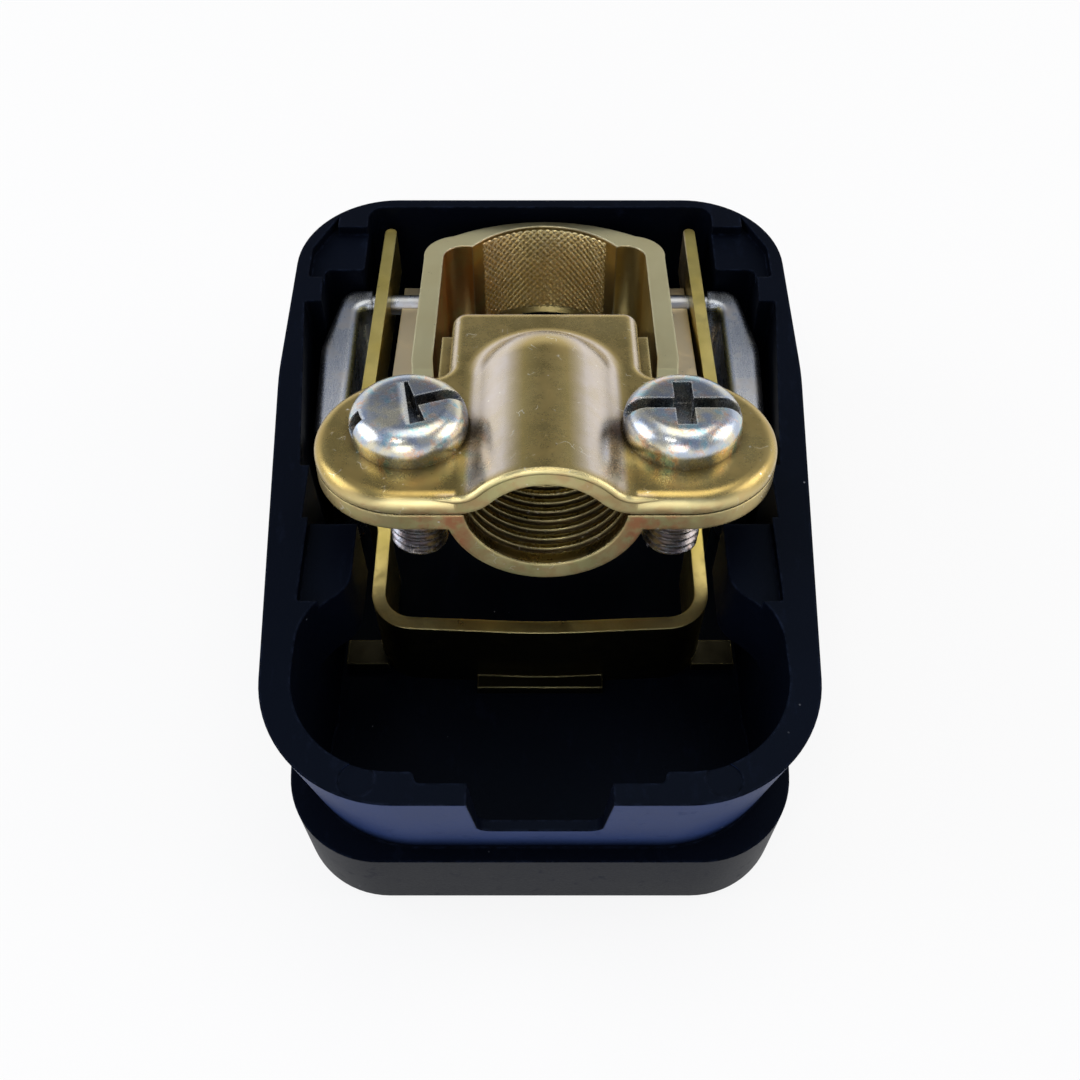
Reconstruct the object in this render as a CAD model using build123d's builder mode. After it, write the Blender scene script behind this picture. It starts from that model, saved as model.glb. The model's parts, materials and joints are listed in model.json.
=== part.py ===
from build123d import *
from math import cos, radians, sin, sqrt
import os

# A quick-release clamp for a round battery post. It lies on its lever cover, open side up.
# X runs across the clamp, +Y points from the cable end to the post end, +Z is up.
# The origin is under the middle of the cover, on the face that it lies on. Millimetres.

# ---- lever cover, a black moulding ----
cover_length = 65.4        # over the rim, along Y
cover_height = 22.0
near_half_width = 20.8     # over the rim beside the cable notch
far_half_width = 24.0      # over the rim beside the post
widest_inset = 24.0        # the sides reach the far width this far from the far rim
near_corner = 11.0
far_corner = 9.4
slab_height = 9.6          # thick foot under the waist
slab_corner = 8.0
slab_inset = 0.4           # the foot is narrower than the rim at the cable end
waist = 1.3                # step in from the foot to the waist in the near wall
draft = 0.3                # the sides lean in a little towards the foot
floor_thickness = 2.5
side_wall = 1.3
far_wall = 1.1
near_wall = 1.7
end_wall_step = 0.9        # extra thickness of the near wall away from the notch
end_wall_step_x = 9.2
notch_half_width = 4.8
notch_depth = 7.4
notch_corner = 1.2
land_drop = 1.0            # side lands lie below the rim
bowl_half_width = 19.2     # round bowl at the cable end
undercut_inset = 9.3       # the undercut starts this far from the near rim
throat_half_width = 15.5   # between the lands
throat_near_inset = 19.1   # from the near rim
throat_far_inset = 25.3
step_half_width = 20.0
shelf_thickness = 7.5      # the side lands are shelves over the floor
undercut_half_width = 18.9
pocket_near_inset = 30.8   # from the near rim
pocket_far_inset = 9.3     # from the far rim
block_half_gap = 17.5      # between the two far corner blocks
block_step = 3.0           # narrow raised step on each block
mark_radius = 1.35         # ejector pin marks on the rim
mark_depth = 0.12
mark_x = 13.4

# ---- hinge between the lever and the clamp ----
pivot_inset = 10.6         # from the far rim
pivot_depth = 4.5          # below the rim
clamp_shift = 0.45         # the clamp has side play and sits a little to one side
rest_tilt = 10.0           # how far the cable end stands up, in degrees
pin_radius = 1.0
pin_inner_x = 11.0
pin_outer_x = 18.4
running_clearance = 0.05
slot_clearance = 0.15

# ---- brass strap frame in the cover ----
strap_thickness = 1.2
strap_near_x = 15.2        # outer faces beside the bowl
strap_far_x = 16.8         # outer faces beside the links
strap_splay = 0.8          # the far ends stand closer
strap_near_inset = 19.7    # from the near rim
strap_far_inset = 2.9      # from the far rim
strap_corner = 3.2
strap_low_depth = 10.0     # top of the near part below the rim
strap_high_depth = 1.8     # top of the far part below the rim
strap_rail = 5.4           # depth of the far part of the strip
strap_bow = 0.7            # the cross part bulges towards the cable
jog_distance = 23.5        # from the pivot to where the arms turn out
jog_length = 2.4
step_up_distance = 21.5    # from the pivot to where the arms rise
step_up_length = 3.6
lip_half_width = 5.9
tab_length = 3.2
tab_width = 2.6
tab_distance = 2.7         # from the cross part

# ---- steel saddle: two hollow side rails that turn in to the pins, joined by a low web ----
saddle_near_distance = 18.6  # from the pivot to the near ends
saddle_far_distance = 1.15   # from the pivot to the far face
saddle_half_width = 21.4
rail_toe_in = 0.5            # the near ends stand closer
saddle_rise = 1.3            # the rails stand this much over the pivot
saddle_lean = 1.6          # the rails' outer sides lean in over their last stretch
saddle_lean_length = 8.0
saddle_corner = 1.9
rail_width = 3.4
rail_end_x = 16.9            # inner end of the turned-in part
rail_end_width = 2.5
rail_crown = 0.8             # rounding along the top
saddle_web = 0.9             # sheet thickness
web_near_distance = 15.0

# ---- clamp plates: y and z below are taken from the pivot, along the tilted plates ----
plate_thickness = 1.5
plate_top = 7.28
plate_gap = 0.16
screw_x = 10.9
screw_y = -27.9
ear_y = -28.3
ear_radius = 7.7
tongue_half_width = 8.3
tongue_corner = 2.6
neck_fillet = 1.4
jaw_y = -11.3
jaw_bottom = -0.38
jaw_bend = 1.1
arch_foot_x = 6.9          # half width of the upper half barrel at its foot
arch_foot_radius = 2.2     # hollow curve from the plate up into the barrel
upper_arch = 3.0           # rise of the half barrel over the upper plate
lower_half_width = 7.5
lower_arch = 5.5           # drop of the half barrel under the lower plate
barrel_front_y = -36.0
dome_y = -21.0             # middle of the round end of the half barrel
lower_barrel_back_y = -22.2
groove_count = 11          # grip grooves inside the barrel
groove_pitch = 1.05
groove_width = 0.5
groove_depth = 0.45
cheek_thickness = 1.2
cheek_gap = 0.8            # between a cheek and the loop
cheek_far_y = -13.2
cheek_near_y = -20.6
cheek_bottom = -4.2
screw_hole_clearance = 0.25

# ---- post loop ----
seat_radius = 8.8          # round seat for the post, knurled
seat_crest_y = 7.0         # far side of the seat
seat_angle = 55.5          # the seat runs this far each way from its crest, in degrees
loop_half_width = 10.05    # between the arms, to the middle
loop_thickness = 1.9
loop_crest_y = 7.8
loop_back_radius = 17.0    # the far side is flatter than the seat
loop_shoulder = 9.2        # where the flat back gives way to the shoulder
loop_shoulder_y = 1.2      # where the arms begin
loop_top = 4.82
loop_height = 10.5
loop_arm_y = -18.8
loop_pinch = 0.35          # the arm ends lean in
loop_kink_y = -15.2        # where the arm ends start to lean in
loop_slot_near_y = -2.8    # blind slots for the pins
loop_slot_far_y = 1.6
loop_slot_floor = 0.35     # wall left inside the slots

# ---- links between the pivot and the plates ----
link_thickness = 2.0
link_gap = 0.4             # between a link and the loop
link_top = 0.3             # low enough to leave the pin bare from above
link_bottom = -2.4
link_eye_radius = 2.6
link_near_y = -25.4
link_tongue_y = -22.6      # the raised end starts here

# ---- clamping screws, M5 ----
screw_radius = 2.5         # over the thread
core_radius = 2.1          # under the thread
screw_length = 13.0
head_radius = 4.75
head_clearance = 0.12      # the arch's foot is dented to clear the heads
head_height = 2.8
head_rim = 1.0
slot_width = 1.25
slot_depth = 1.5
cross_width = 1.5
cross_length = 5.2
cross_depth = 2.2
left_turn = 20.0           # how the left head happens to be turned
right_turn = 0.0
screw_chamfer = 0.6

# ---- frames of the tilted clamp ----
lean_sin = sin(radians(rest_tilt))
lean_cos = cos(radians(rest_tilt))
half_length = cover_length / 2
rim_near_y = -half_length
rim_far_y = half_length
pivot_y = rim_far_y - pivot_inset
pivot_z = cover_height - pivot_depth
pivot = (clamp_shift, pivot_y, pivot_z)
clamp_xy = Plane(origin=pivot, x_dir=(1, 0, 0), z_dir=(0, lean_sin, lean_cos))
clamp_xz = Plane(origin=pivot, x_dir=(1, 0, 0), z_dir=(0, -lean_cos, lean_sin))
clamp_yz = Plane(origin=pivot, x_dir=(0, lean_cos, -lean_sin), z_dir=(1, 0, 0))

inner_far_y = rim_far_y - far_wall
inner_near_y = rim_near_y + near_wall
land_z = cover_height - land_drop
widest_y = rim_far_y - widest_inset
pocket_wall_x = near_half_width
throat_near_y = rim_near_y + throat_near_inset
throat_far_y = rim_near_y + throat_far_inset
pocket_near_y = rim_near_y + pocket_near_inset
pocket_far_y = rim_far_y - pocket_far_inset
block_far_y = inner_far_y - 1.4
plate_bottom = plate_top - plate_thickness
lower_top = plate_bottom - plate_gap
lower_bottom = lower_top - plate_thickness
loop_outer_x = loop_half_width + loop_thickness
loop_bottom = loop_top - loop_height
head_base = plate_top
# the upper arch is one arc between two hollow ones that it touches without a corner
arch_crest_radius = (arch_foot_x**2 + upper_arch**2) / (2 * upper_arch) - arch_foot_radius
# the lower arch is an arc through the barrel's edges and its lowest line
lower_arch_radius = (lower_half_width**2 + lower_arch**2) / (2 * lower_arch)
lower_arch_z = lower_bottom - lower_arch + lower_arch_radius
clamp_y_axis = Axis(pivot, clamp_xy.y_dir)
clamp_z_axis = Axis(pivot, clamp_xy.z_dir)
dome_axis = Axis(clamp_xy.from_local_coords(Vector(0, dome_y, 0)), clamp_xy.z_dir)



def outline(points, radii):
    """Closed face from corner points, each corner with its own radius."""
    with BuildLine() as edge:
        FilletPolyline(*points, radius=radii, close=True)
    make_face(edge.edges())


def disc_band(radius, middle, low, high):
    """The part of a disc that lies between two levels."""
    disc = Pos(0, middle) * Circle(radius, mode=Mode.PRIVATE)
    band = Pos(0, (low + high) / 2) * Rectangle(200, high - low, mode=Mode.PRIVATE)
    add(disc & band)


def arc_middle(centre, start, end):
    """Middle point of the short arc from start to end about a centre."""
    spoke = (start - centre).normalized() + (end - centre).normalized()
    return centre + spoke.normalized() * (start - centre).length


def arch_profile(inset, low, whole):
    """Section of the upper arch, shrunk by an inset into the sheet; whole, or its right half."""
    base = plate_top - inset
    foot = Vector(arch_foot_x, base)
    hollow = Vector(arch_foot_x, plate_top + arch_foot_radius)
    middle = Vector(0, plate_top + upper_arch - arch_crest_radius)
    crest = Vector(0, plate_top + upper_arch - inset)
    touch = middle + (hollow - middle).normalized() * (arch_crest_radius - inset)
    foot_middle = arc_middle(hollow, foot, touch)
    crest_middle = arc_middle(middle, touch, crest)
    with BuildLine() as edge:
        ThreePointArc(foot, foot_middle, touch)
        ThreePointArc(touch, crest_middle, crest)
        if whole:
            mirror(about=Plane.YZ)
            Polyline((-arch_foot_x, base), (-arch_foot_x, low), (arch_foot_x, low), foot)
        else:
            Polyline(crest, (0, low), (arch_foot_x, low), foot)
    make_face(edge.edges())


def cover_outline(near_x, far_x, near_inset, near_radius, far_radius):
    """Plan of the cover: straight ends, sides that spread towards the post end."""
    near_y = rim_near_y + near_inset
    far_y = rim_far_y
    outline(
        [
            (-near_x, near_y),
            (near_x, near_y),
            (far_x, widest_y),
            (far_x, far_y),
            (-far_x, far_y),
            (-far_x, widest_y),
        ],
        [near_radius, near_radius, 40, far_radius, far_radius, 40],
    )


# ---- lever cover ----
with BuildPart() as lever_cover:
    # foot: a thick slab with its own corners
    with BuildSketch(Plane.XY):
        cover_outline(near_half_width - slab_inset, far_half_width - draft, 0, slab_corner, far_corner)
    extrude(amount=slab_height)
    # waist: the walls start a step further in and flare out to the rim
    with BuildSketch(Plane.XY.offset(slab_height)):
        cover_outline(near_half_width - waist, far_half_width - draft, waist, near_corner, far_corner)
    with BuildSketch(Plane.XY.offset(cover_height)):
        cover_outline(near_half_width, far_half_width, 0, near_corner, far_corner)
    loft()
    foot_edges = lever_cover.edges().filter_by_position(Axis.Z, -0.01, 0.01)
    fillet(foot_edges, 0.9)

    # bowl at the cable end
    with BuildSketch(Plane.XY.offset(floor_thickness)):
        outline(
            [
                (-end_wall_step_x, inner_near_y),
                (end_wall_step_x, inner_near_y),
                (end_wall_step_x, inner_near_y + end_wall_step),
                (bowl_half_width, inner_near_y + end_wall_step),
                (bowl_half_width, throat_near_y - 3),
                (throat_half_width, throat_near_y),
                (throat_half_width, throat_far_y),
                (-throat_half_width, throat_far_y),
                (-throat_half_width, throat_near_y),
                (-bowl_half_width, throat_near_y - 3),
                (-bowl_half_width, inner_near_y + end_wall_step),
                (-end_wall_step_x, inner_near_y + end_wall_step),
            ],
            [0.5, 0.5, 0.4, 8.4, 5.5, 3.0, 0, 0, 3.0, 5.5, 8.4, 0.4],
        )
    extrude(amount=cover_height, mode=Mode.SUBTRACT)
    # throat, side pockets and the space between the corner blocks
    with BuildSketch(Plane.XY.offset(floor_thickness)):
        outline(
            [
                (-step_half_width, throat_far_y - 0.01),
                (step_half_width, throat_far_y - 0.01),
                (step_half_width, pocket_near_y),
                (far_half_width - 2 * side_wall, pocket_far_y),
                (block_half_gap, pocket_far_y),
                (block_half_gap, inner_far_y),
                (-block_half_gap, inner_far_y),
                (-block_half_gap, pocket_far_y),
                (-far_half_width + 2 * side_wall, pocket_far_y),
                (-step_half_width, pocket_near_y),
            ],
            [0, 0, 1, 0.6, 0.4, 1.5, 1.5, 0.4, 0.6, 1],
        )
        # the pocket's outer step runs along the thin side wall
        for side in (-1, 1):
            outline(
                [
                    (side * (near_half_width - 4), pocket_near_y),
                    (side * pocket_wall_x, pocket_near_y),
                    (side * (far_half_width - side_wall), pocket_far_y - 5.3),
                    (side * (near_half_width - 4), pocket_far_y - 5.3),
                ],
                [0, 0.3, 0.3, 0],
            )
    extrude(amount=cover_height, mode=Mode.SUBTRACT)
    # the lands are shelves: the space runs on below them
    with BuildSketch(Plane.XY.offset(floor_thickness)):
        outline(
            [
                (-undercut_half_width, rim_near_y + undercut_inset),
                (undercut_half_width, rim_near_y + undercut_inset),
                (undercut_half_width, pocket_near_y + 1),
                (-undercut_half_width, pocket_near_y + 1),
            ],
            1,
        )
    extrude(amount=land_z - shelf_thickness - floor_thickness, mode=Mode.SUBTRACT)
    # side lands and corner blocks lie a little below the rim
    with BuildSketch(Plane.XY.offset(land_z)):
        for side in (-1, 1):
            outline(
                [
                    (side * 10, throat_near_y - 2),
                    (side * (near_half_width - side_wall), throat_near_y - 2),
                    (side * (near_half_width - side_wall), pocket_near_y + 2),
                    (side * 10, pocket_near_y + 2),
                ],
                0.3,
            )
            outline(
                [
                    (side * (block_half_gap - 2), pocket_far_y - 2),
                    (side * (far_half_width - side_wall), pocket_far_y - 2),
                    (side * (far_half_width - side_wall), block_far_y - far_corner / 2),
                    (side * (block_half_gap + block_step), block_far_y),
                    (side * (block_half_gap + block_step), block_far_y - 1.6),
                    (side * (block_half_gap - 2), block_far_y - 1.6),
                ],
                [0, 0.4, 1.5, 0, 0, 0],
            )
    extrude(amount=land_drop, mode=Mode.SUBTRACT)
    # cable notch in the near wall
    with BuildSketch(Plane.XZ.offset(-rim_near_y - near_wall - end_wall_step - 1)):
        outline(
            [
                (-notch_half_width, cover_height - notch_depth),
                (notch_half_width, cover_height - notch_depth),
                (notch_half_width + 0.6, cover_height + 1),
                (-notch_half_width - 0.6, cover_height + 1),
            ],
            [notch_corner, notch_corner, 0, 0],
        )
    extrude(amount=near_wall + end_wall_step + 3, mode=Mode.SUBTRACT)
    # ejector pin marks
    with BuildSketch(Plane.XY.offset(cover_height - mark_depth)):
        with Locations((-mark_x, inner_near_y + 0.3), (mark_x, inner_near_y + 0.3)):
            Circle(mark_radius)
    extrude(amount=mark_depth, mode=Mode.SUBTRACT)
lever_cover.part.label = "lever_cover"

# ---- strap frame: one brass strip on edge, bent round the bowl end and trimmed in profile ----
strap_near_y = rim_near_y + strap_near_inset
strap_far_y = rim_far_y - strap_far_inset
strap_low_top = cover_height - strap_low_depth
strap_high_top = cover_height - strap_high_depth
strap_rail_bottom = strap_high_top - strap_rail
jog_y = pivot_y - jog_distance
step_up_y = pivot_y - step_up_distance
with BuildPart() as strap_frame:
    with BuildSketch(Plane.XY.offset(floor_thickness)):
        with BuildLine() as strap_line:
            half_strap = strap_thickness / 2
            near_x = strap_near_x - half_strap
            far_x = strap_far_x - half_strap
            end_x = far_x - strap_splay
            near_y = strap_near_y + half_strap
            FilletPolyline(
                (-end_x, strap_far_y),
                (-far_x, jog_y + jog_length),
                (-near_x, jog_y),
                (-near_x, near_y + strap_bow),
                (0, near_y),
                (near_x, near_y + strap_bow),
                (near_x, jog_y),
                (far_x, jog_y + jog_length),
                (end_x, strap_far_y),
                radius=[2, 2, strap_corner, 60, strap_corner, 2, 2],
            )
            offset(amount=half_strap, side=Side.BOTH)
        make_face()
    extrude(amount=strap_high_top - floor_thickness)
    # low beside the bowl, high over the saddle
    with BuildSketch(Plane.YZ):
        outline(
            [
                (strap_near_y - 5, floor_thickness),
                (step_up_y, floor_thickness),
                (step_up_y + step_up_length, strap_rail_bottom),
                (strap_far_y + 1, strap_rail_bottom),
                (strap_far_y + 1, strap_high_top),
                (step_up_y + step_up_length, strap_high_top),
                (step_up_y, strap_low_top),
                (strap_near_y - 5, strap_low_top),
            ],
            [0, 1.5, 1.5, 0, 0, 1.5, 1.5, 0],
        )
    extrude(amount=strap_far_x + 1, both=True, mode=Mode.INTERSECT)
    # feet bent out along the floor: one lip on the cross part, one tab on each arm
    with BuildSketch(Plane.XY.offset(floor_thickness)):
        with Locations((0, strap_near_y - 0.2)):
            Rectangle(2 * lip_half_width, 1.8)
        for side in (-1, 1):
            with Locations((side * (strap_near_x + tab_length / 2 - 0.4), strap_near_y + tab_distance)):
                Rectangle(tab_length + 0.8, tab_width)
    extrude(amount=strap_thickness)
    # bearing holes for the pivot pins
    with Locations(Plane.YZ.offset(-far_half_width)):
        with Locations((pivot_y, pivot_z)):
            Hole(pin_radius, depth=2 * far_half_width)
strap_frame.part.label = "strap_frame"

# ---- saddle: a steel pressing, its two hollow rails turn in to carry the pivot pins ----
saddle_near_y = pivot_y - saddle_near_distance
saddle_far_y = pivot_y + saddle_far_distance
saddle_top = pivot_z + saddle_rise


def rail_plan(side, inset):
    """Plan of one rail, an L with a large outer corner, shrunk by an inset."""
    inner_x = saddle_half_width - rail_width
    outline(
        [
            (side * (inner_x + inset), saddle_near_y + inset),
            (side * (saddle_half_width - rail_toe_in - inset), saddle_near_y + inset),
            (side * (saddle_half_width - inset), saddle_far_y - saddle_lean_length),
            (side * (saddle_half_width - saddle_lean - inset), saddle_far_y - inset),
            (side * (rail_end_x + inset), saddle_far_y - inset),
            (side * (rail_end_x + inset), saddle_far_y - rail_end_width + inset),
            (side * (inner_x + inset), saddle_far_y - rail_end_width + inset),
        ],
        [1.3 - inset, 1.6 - inset, 9, saddle_corner - inset, 0, 0, 0.9],
    )


with BuildPart() as saddle:
    with BuildSketch(Plane.XY.offset(floor_thickness)):
        rail_plan(-1, 0)
        rail_plan(1, 0)
    extrude(amount=saddle_top - floor_thickness)
    rail_tops = saddle.faces().sort_by(Axis.Z)[-2:]
    crown = rail_tops.edges().filter_by(lambda edge: abs(edge.center().X) > rail_end_x + 0.1)
    fillet(crown, rail_crown)
    with BuildSketch(Plane.XY.offset(floor_thickness)):
        rail_plan(-1, saddle_web)
        rail_plan(1, saddle_web)
    extrude(amount=saddle_top - saddle_web - floor_thickness, mode=Mode.SUBTRACT)
    # low web under the loop
    with BuildSketch(Plane.XY.offset(floor_thickness)):
        with Locations((0, pivot_y - web_near_distance / 2)):
            Rectangle(2 * (saddle_half_width - rail_width + saddle_web / 2), web_near_distance)
    extrude(amount=saddle_web)
    with Locations(Plane.YZ.offset(-pin_outer_x)):
        with Locations((pivot_y, pivot_z)):
            Hole(pin_radius, depth=2 * pin_outer_x)
saddle.part.label = "saddle"

# ---- upper plate: ears, tongue, bent jaw and half barrel from one brass blank ----
with BuildPart() as upper_plate:
    with BuildSketch(clamp_xy.offset(plate_bottom)):
        with Locations((0, ear_y)):
            SlotCenterToCenter(2 * screw_x, 2 * ear_radius)
        with Locations((0, (screw_y + jaw_y) / 2)):
            Rectangle(2 * tongue_half_width, jaw_y - screw_y)
    extrude(amount=plate_thickness)
    neck = upper_plate.edges().filter_by(clamp_z_axis).group_by(clamp_y_axis)[-2]
    fillet(neck, neck_fillet)
    # the jaw hangs down from the tongue's far edge
    with BuildSketch(clamp_xy.offset(jaw_bottom)):
        with Locations((0, jaw_y - plate_thickness / 2)):
            Rectangle(2 * tongue_half_width, plate_thickness)
    extrude(amount=plate_bottom - jaw_bottom)
    corners = upper_plate.edges().filter_by(clamp_z_axis).group_by(clamp_y_axis)[-1]
    fillet(corners, plate_thickness - 0.2)
    over_edge = upper_plate.faces().sort_by(clamp_z_axis)[-1].edges().group_by(clamp_y_axis)[-1]
    fillet(over_edge, jaw_bend)
    # half barrel: an arched front part and a round domed end
    with BuildSketch(clamp_xz.offset(-dome_y)):
        arch_profile(0, plate_bottom, True)
    extrude(amount=dome_y - barrel_front_y)
    with BuildSketch(clamp_xz.offset(-dome_y)):
        arch_profile(0, plate_bottom, False)
    revolve(axis=dome_axis)
    # hollow under the arch, the same wall all the way
    with BuildSketch(clamp_xz.offset(-dome_y)):
        arch_profile(plate_thickness, lower_top, True)
    extrude(amount=dome_y - barrel_front_y + 1, mode=Mode.SUBTRACT)
    with BuildSketch(clamp_xz.offset(-dome_y)):
        arch_profile(plate_thickness, lower_top, False)
    revolve(axis=dome_axis, mode=Mode.SUBTRACT)
    # grip grooves
    for groove in range(groove_count):
        with BuildSketch(clamp_xz.offset(-barrel_front_y - 1.2 - groove * groove_pitch)):
            arch_profile(plate_thickness - groove_depth, lower_top, True)
        extrude(amount=-groove_width, mode=Mode.SUBTRACT)
    with Locations(clamp_xy.offset(plate_top)):
        with Locations((-screw_x, screw_y), (screw_x, screw_y)):
            Hole(screw_radius + screw_hole_clearance, depth=plate_thickness + 0.1)
    # dents in the arch's foot beside the screw heads
    with BuildSketch(clamp_xy.offset(plate_top)):
        with Locations((-screw_x, screw_y), (screw_x, screw_y)):
            Circle(head_radius + head_clearance)
    extrude(amount=head_rim, mode=Mode.SUBTRACT)
upper_plate.part.label = "upper_plate"

# ---- lower plate: the same ears, a short tongue with two cheeks folded down, half barrel below ----
cheek_outer_x = loop_half_width - cheek_gap
with BuildPart() as lower_plate:
    with BuildSketch(clamp_xy.offset(lower_bottom)):
        with Locations((0, ear_y)):
            SlotCenterToCenter(2 * screw_x, 2 * ear_radius)
        with Locations((0, (screw_y + cheek_far_y) / 2)):
            Rectangle(2 * cheek_outer_x, cheek_far_y - screw_y)
    extrude(amount=plate_thickness)
    with BuildSketch(clamp_xy.offset(cheek_bottom)):
        for side in (-1, 1):
            with Locations(
                (side * (cheek_outer_x - cheek_thickness / 2), (cheek_near_y + cheek_far_y) / 2)
            ):
                Rectangle(cheek_thickness, cheek_far_y - cheek_near_y)
    extrude(amount=lower_top - cheek_bottom)
    with BuildSketch(clamp_xz.offset(-lower_barrel_back_y)):
        disc_band(lower_arch_radius, lower_arch_z, lower_bottom - lower_arch, lower_top)
    extrude(amount=lower_barrel_back_y - barrel_front_y)
    with BuildSketch(clamp_xz.offset(-lower_barrel_back_y)):
        disc_band(
            lower_arch_radius - plate_thickness, lower_arch_z, lower_bottom - lower_arch, plate_top
        )
    extrude(amount=lower_barrel_back_y - barrel_front_y + 1, mode=Mode.SUBTRACT)
    for groove in range(groove_count):
        with BuildSketch(clamp_xz.offset(-barrel_front_y - 1.2 - groove * groove_pitch)):
            disc_band(
                lower_arch_radius - plate_thickness + groove_depth,
                lower_arch_z,
                lower_bottom - lower_arch,
                plate_top,
            )
        extrude(amount=-groove_width, mode=Mode.SUBTRACT)
    with Locations(clamp_xy.offset(lower_top)):
        with Locations((-screw_x, screw_y), (screw_x, screw_y)):
            Hole(screw_radius + running_clearance, depth=plate_thickness + 0.1)
lower_plate.part.label = "lower_plate"

# ---- post loop: a brass band bent to a flat-backed U, its crest bored out to seat the post ----
seat_y = seat_crest_y - seat_radius
seat_edge_x = seat_radius * sin(radians(seat_angle))
seat_edge_y = seat_y + seat_radius * cos(radians(seat_angle))
back_y = loop_crest_y - loop_back_radius
shoulder_top_y = back_y + sqrt(loop_back_radius**2 - loop_shoulder**2)
arm_end_x = loop_outer_x - loop_pinch
with BuildPart() as post_loop:
    with BuildSketch(clamp_xy.offset(loop_top - loop_height)):
        with BuildLine():
            # outside, from the left arm end round to the right one
            Polyline((-arm_end_x, loop_arm_y), (-loop_outer_x, loop_kink_y), (-loop_outer_x, loop_shoulder_y))
            ThreePointArc(
                (-loop_outer_x, loop_shoulder_y),
                (-loop_outer_x + 0.75, (loop_shoulder_y + shoulder_top_y) / 2 + 0.75),
                (-loop_shoulder, shoulder_top_y),
            )
            ThreePointArc((-loop_shoulder, shoulder_top_y), (0, loop_crest_y), (loop_shoulder, shoulder_top_y))
            ThreePointArc(
                (loop_shoulder, shoulder_top_y),
                (loop_outer_x - 0.75, (loop_shoulder_y + shoulder_top_y) / 2 + 0.75),
                (loop_outer_x, loop_shoulder_y),
            )
            Polyline((loop_outer_x, loop_shoulder_y), (loop_outer_x, loop_kink_y), (arm_end_x, loop_arm_y))
            # inside, back again past the seat
            Polyline(
                (arm_end_x, loop_arm_y),
                (arm_end_x - loop_thickness, loop_arm_y),
                (loop_half_width, loop_kink_y),
                (loop_half_width, loop_shoulder_y),
            )
            ThreePointArc(
                (loop_half_width, loop_shoulder_y),
                (loop_half_width - 0.55, (loop_shoulder_y + seat_edge_y) / 2 + 0.5),
                (seat_edge_x, seat_edge_y),
            )
            ThreePointArc((seat_edge_x, seat_edge_y), (0, seat_crest_y), (-seat_edge_x, seat_edge_y))
            ThreePointArc(
                (-seat_edge_x, seat_edge_y),
                (-loop_half_width + 0.55, (loop_shoulder_y + seat_edge_y) / 2 + 0.5),
                (-loop_half_width, loop_shoulder_y),
            )
            Polyline(
                (-loop_half_width, loop_shoulder_y),
                (-loop_half_width, loop_kink_y),
                (-arm_end_x + loop_thickness, loop_arm_y),
                (-arm_end_x, loop_arm_y),
            )
        make_face()
    extrude(amount=loop_height)
    # the pins ride in blind slots cut from outside
    for side in (-1, 1):
        with BuildSketch(clamp_yz.offset(side * (loop_half_width + loop_slot_floor))):
            with Locations(((loop_slot_near_y + loop_slot_far_y) / 2, 0)):
                SlotOverall(loop_slot_far_y - loop_slot_near_y, 2 * (pin_radius + slot_clearance))
        extrude(amount=side * loop_thickness, mode=Mode.SUBTRACT)
post_loop.part.label = "post_loop"
parts = [lever_cover, strap_frame, saddle, upper_plate, lower_plate, post_loop]

# ---- what comes in pairs, left and right ----
link_inner_x = loop_outer_x + link_gap
for side, name in ((-1, "left"), (1, "right")):
    inner_face = clamp_yz.offset(side * link_inner_x)
    with BuildPart() as link:
        with BuildSketch(inner_face):
            with Locations((link_near_y / 2, (link_top + link_bottom) / 2)):
                Rectangle(-link_near_y, link_top - link_bottom)
            with Locations(((link_near_y + link_tongue_y) / 2, (lower_bottom + link_bottom) / 2)):
                Rectangle(link_tongue_y - link_near_y, lower_bottom - link_bottom)
            Circle(link_eye_radius)
            # the eye is open at the top, so the link lifts off the pin
            with Locations((0, link_top + link_eye_radius / 2)):
                Rectangle(2.5 * link_eye_radius, link_eye_radius, mode=Mode.SUBTRACT)
            Circle(pin_radius + running_clearance, mode=Mode.SUBTRACT)
        extrude(amount=side * link_thickness)
    link.part.label = f"link_{name}"
    parts.append(link)

    with BuildPart() as pivot_pin:
        with BuildSketch(Plane.YZ.offset(side * pin_inner_x)):
            with Locations((pivot_y, pivot_z)):
                Circle(pin_radius)
        extrude(amount=side * (pin_outer_x - pin_inner_x))
        chamfer(pivot_pin.edges().group_by(Axis.X)[0 if side > 0 else -1], 0.2)
    pivot_pin.part.label = f"pivot_pin_{name}"
    parts.append(pivot_pin)

for side, name, turn in ((-1, "left", left_turn), (1, "right", right_turn)):
    seat = clamp_xy.from_local_coords(Vector(side * screw_x, screw_y, head_base))
    recess = Plane(
        origin=seat + clamp_xy.z_dir * head_height,
        x_dir=clamp_xy.x_dir,
        z_dir=clamp_xy.z_dir,
    ).rotated((0, 0, turn))
    seat_plane = Plane(origin=seat, x_dir=clamp_xy.x_dir, z_dir=clamp_xy.z_dir)
    with BuildPart() as screw:
        with BuildSketch(seat_plane):
            Circle(head_radius)
        extrude(amount=head_height)
        fillet(screw.edges().group_by(clamp_z_axis)[-1], head_height - head_rim)
        with BuildSketch(seat_plane):
            Circle(screw_radius)
        extrude(amount=lower_bottom - head_base)
        with BuildSketch(seat_plane):
            Circle(core_radius)
        extrude(amount=-screw_length)
        chamfer(screw.edges().group_by(clamp_z_axis)[0], screw_chamfer)
        with BuildSketch(recess):
            Rectangle(2 * head_radius + 1, slot_width)
        extrude(amount=-slot_depth, mode=Mode.SUBTRACT)
        with BuildSketch(recess.offset(-slot_depth)):
            Rectangle(cross_length, slot_width)
            Rectangle(cross_width, cross_length)
        extrude(amount=slot_depth - cross_depth, mode=Mode.SUBTRACT)
        with BuildSketch(recess):
            Rectangle(cross_width, cross_length)
        extrude(amount=-slot_depth, mode=Mode.SUBTRACT)
    screw.part.label = f"screw_{name}"
    parts.append(screw)

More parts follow.
